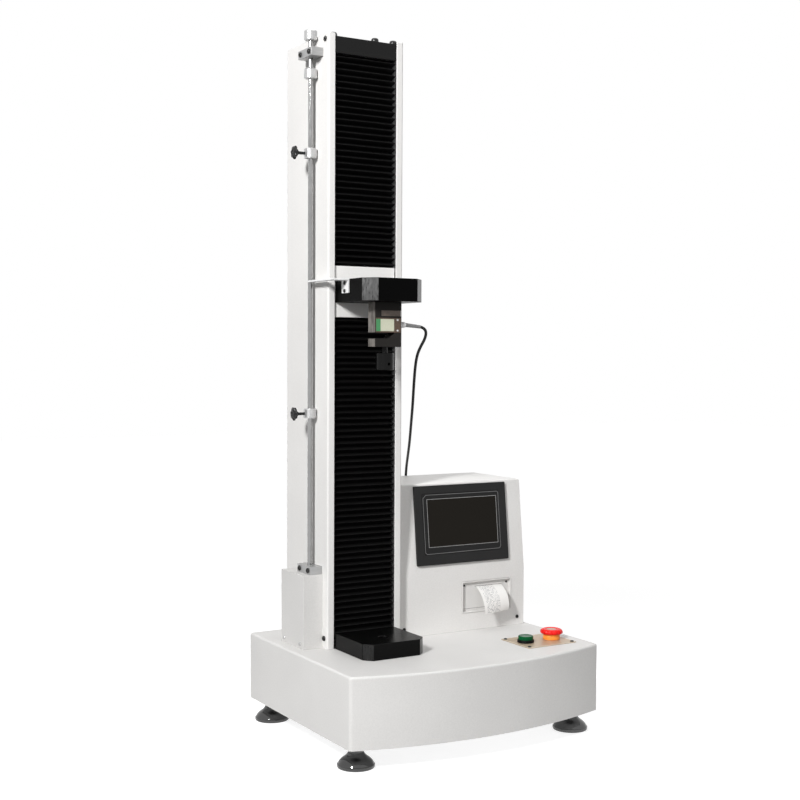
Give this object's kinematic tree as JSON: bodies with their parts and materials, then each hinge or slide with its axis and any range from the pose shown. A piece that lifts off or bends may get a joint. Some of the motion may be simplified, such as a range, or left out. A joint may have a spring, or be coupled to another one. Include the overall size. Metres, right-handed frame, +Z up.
{
  "type": "universal testing machine",
  "caption": "Bench tensile tester: one column, belt-driven crosshead with load cell, pleated bellows, limit rod, tilted control panel and stop button on a bowed base.",
  "frame": {"origin": "on the floor, under the middle of the base's outline", "axes": "+X to the machine's right seen from its front, +Y to its rear, +Z up"},
  "size_m": [0.49, 0.4354, 1.203],
  "materials": {
    "white_coat": "powder coat, satin",
    "bare_steel": "machined",
    "bright_plate": "nickel plated, ground",
    "frame_aluminium": "extruded, mill finish",
    "black_anodised": "black anodised, satin",
    "black_coat": "powder coat, satin",
    "bellows_skin": "coated cloth, slight sheen",
    "bright_chrome": "polished",
    "black_oxide": "black oxide",
    "bright_zinc": "zinc plated",
    "cell_metal": "nickel plated, warm grey",
    "boot_rubber": "matte grey",
    "cable_jacket": "satin",
    "black_plastic": "moulded, satin",
    "bezel_plastic": "moulded, dark grey",
    "screen_glass": "glossy, dark",
    "printer_plastic": "moulded, fine grain",
    "paper": "plain paper",
    "drive_grey": "moulded",
    "motor_black": "satin",
    "belt_rubber": "matte",
    "bronze_plate": "anodised tan",
    "green_plastic": "moulded",
    "red_plastic": "moulded",
    "yellow_plastic": "moulded",
    "foot_chrome": "dark chrome, polished"
  },
  "bodies": {
    "frame": {"base_cover": "white_coat", "base_plate": "bare_steel", "column_frame": "frame_aluminium", "column_left_panel": "white_coat", "column_right_panel": "white_coat", "column_rear_cover": "white_coat", "column_top_cap": "black_coat", "screw_bearings": "bare_steel", "linear_rails": "bare_steel", "upper_bellows": "bellows_skin", "lower_bellows": "bellows_skin", "platen_pedestal": "bare_steel", "lower_platen": "black_anodised", "drive_motor": "motor_black", "timing_belt": "belt_rubber", "load_cell_cable": "cable_jacket", "signal_plug": "black_plastic", "rod_guide_blocks": "bright_plate", "limit_switch_cover": "white_coat", "limit_switches": "black_plastic", "control_box": "white_coat", "rear_panel": "white_coat", "hmi_bezel": "bezel_plastic", "hmi_screen": "screen_glass", "printer_housing": "printer_plastic", "printer_paper": "paper", "motor_drive": "drive_grey", "power_inlet": "black_plastic", "button_plate": "bronze_plate", "start_button_ring": "black_plastic", "estop_collar": "yellow_plastic", "black_screws": "black_oxide", "bright_fasteners": "bright_zinc"},
    "crosshead": {"ball_nut": "bare_steel", "guide_carriages": "bare_steel", "saddle": "frame_aluminium", "carriage_plate": "white_coat", "crosshead_block": "black_anodised", "load_cell": "cell_metal", "crosshead_fasteners": "bright_zinc", "grip_adapter": "black_oxide", "cable_gland": "boot_rubber", "striker_arm": "bright_plate"},
    "screw": {"ball_screw": "bare_steel", "driven_pulley": "frame_aluminium"},
    "motor_rotor": {"motor_pulley": "bare_steel"},
    "rod": {"limit_rod": "bright_chrome", "rod_collars": "bright_chrome"},
    "upper_stop": {"upper_stop_collar": "bright_chrome"},
    "upper_knob": {"upper_stop_knob": "black_plastic"},
    "lower_stop": {"lower_stop_collar": "bright_chrome"},
    "lower_knob": {"lower_stop_knob": "black_plastic"},
    "start_button": {"start_button_cap": "green_plastic"},
    "stop_plunger": {"estop_stem": "black_plastic"},
    "stop_head": {"estop_head": "red_plastic"},
    "rocker": {"power_rocker": "black_plastic"},
    "front_left_foot": {"foot_front_left": "foot_chrome"},
    "front_right_foot": {"foot_front_right": "foot_chrome"},
    "rear_left_foot": {"foot_rear_left": "foot_chrome"},
    "rear_right_foot": {"foot_rear_right": "foot_chrome"}
  },
  "joints": [
    {"name": "crosshead_slide", "type": "slide", "parent": "frame", "child": "crosshead", "axis": [0, 0, 1], "range_m": [-0.212, 0.204], "deforming": ["upper_bellows", "lower_bellows", "load_cell_cable"]},
    {"name": "screw_turn", "type": "hinge", "parent": "frame", "child": "screw", "pos_m": [-0.115, 0.095, 0.6], "axis": [0, 0, 1], "continuous": true},
    {"name": "motor_turn", "type": "hinge", "parent": "frame", "child": "motor_rotor", "pos_m": [-0.115, -0.045, 0.07], "axis": [0, 0, 1], "continuous": true},
    {"name": "limit_rod_slide", "type": "slide", "parent": "frame", "child": "rod", "axis": [0, 0, 1], "range_m": [-0.012, 0.012], "stiffness_N_per_m": 2000, "springref_m": 0.0025},
    {"name": "upper_stop_slide", "type": "slide", "parent": "rod", "child": "upper_stop", "axis": [0, 0, 1], "range_m": [-0.19, 0.114]},
    {"name": "upper_knob_turn", "type": "hinge", "parent": "upper_stop", "child": "upper_knob", "pos_m": [-0.229, 0.061, 0.995], "axis": [-1, 0, 0], "range_deg": [0, 360]},
    {"name": "lower_stop_slide", "type": "slide", "parent": "rod", "child": "lower_stop", "axis": [0, 0, 1], "range_m": [-0.236, 0.198]},
    {"name": "lower_knob_turn", "type": "hinge", "parent": "lower_stop", "child": "lower_knob", "pos_m": [-0.229, 0.061, 0.554], "axis": [-1, 0, 0], "range_deg": [0, 360]},
    {"name": "start_press", "type": "slide", "parent": "frame", "child": "start_button", "axis": [0, 0, -1], "range_m": [0, 0.004], "stiffness_N_per_m": 500, "springref_m": -0.004},
    {"name": "stop_press", "type": "slide", "parent": "frame", "child": "stop_plunger", "axis": [0, 0, -1], "range_m": [0, 0.003]},
    {"name": "stop_twist", "type": "hinge", "parent": "stop_plunger", "child": "stop_head", "pos_m": [0.1955, -0.103, 0.17], "axis": [0, 0, -1], "range_deg": [0, 45], "stiffness_Nm_per_rad": 0.05, "springref_deg": -17.19},
    {"name": "rocker_tip", "type": "hinge", "parent": "frame", "child": "rocker", "pos_m": [0.17, 0.198, 0.232], "axis": [1, 0, 0], "range_deg": [-18, 0]},
    {"name": "front_left_foot_turn", "type": "hinge", "parent": "frame", "child": "front_left_foot", "pos_m": [-0.214, -0.134, 0.02], "axis": [0, 0, 1], "range_deg": [-180, 180]},
    {"name": "front_right_foot_turn", "type": "hinge", "parent": "frame", "child": "front_right_foot", "pos_m": [0.214, -0.134, 0.02], "axis": [0, 0, 1], "range_deg": [-180, 180]},
    {"name": "rear_left_foot_turn", "type": "hinge", "parent": "frame", "child": "rear_left_foot", "pos_m": [-0.214, 0.179, 0.02], "axis": [0, 0, 1], "range_deg": [-180, 180]},
    {"name": "rear_right_foot_turn", "type": "hinge", "parent": "frame", "child": "rear_right_foot", "pos_m": [0.214, 0.179, 0.02], "axis": [0, 0, 1], "range_deg": [-180, 180]}
  ],
  "couplings": [
    {"joint": "screw_turn", "follows": "crosshead_slide", "rad_per_m": -628.32},
    {"joint": "motor_turn", "follows": "crosshead_slide", "rad_per_m": -1256.6}
  ]
}
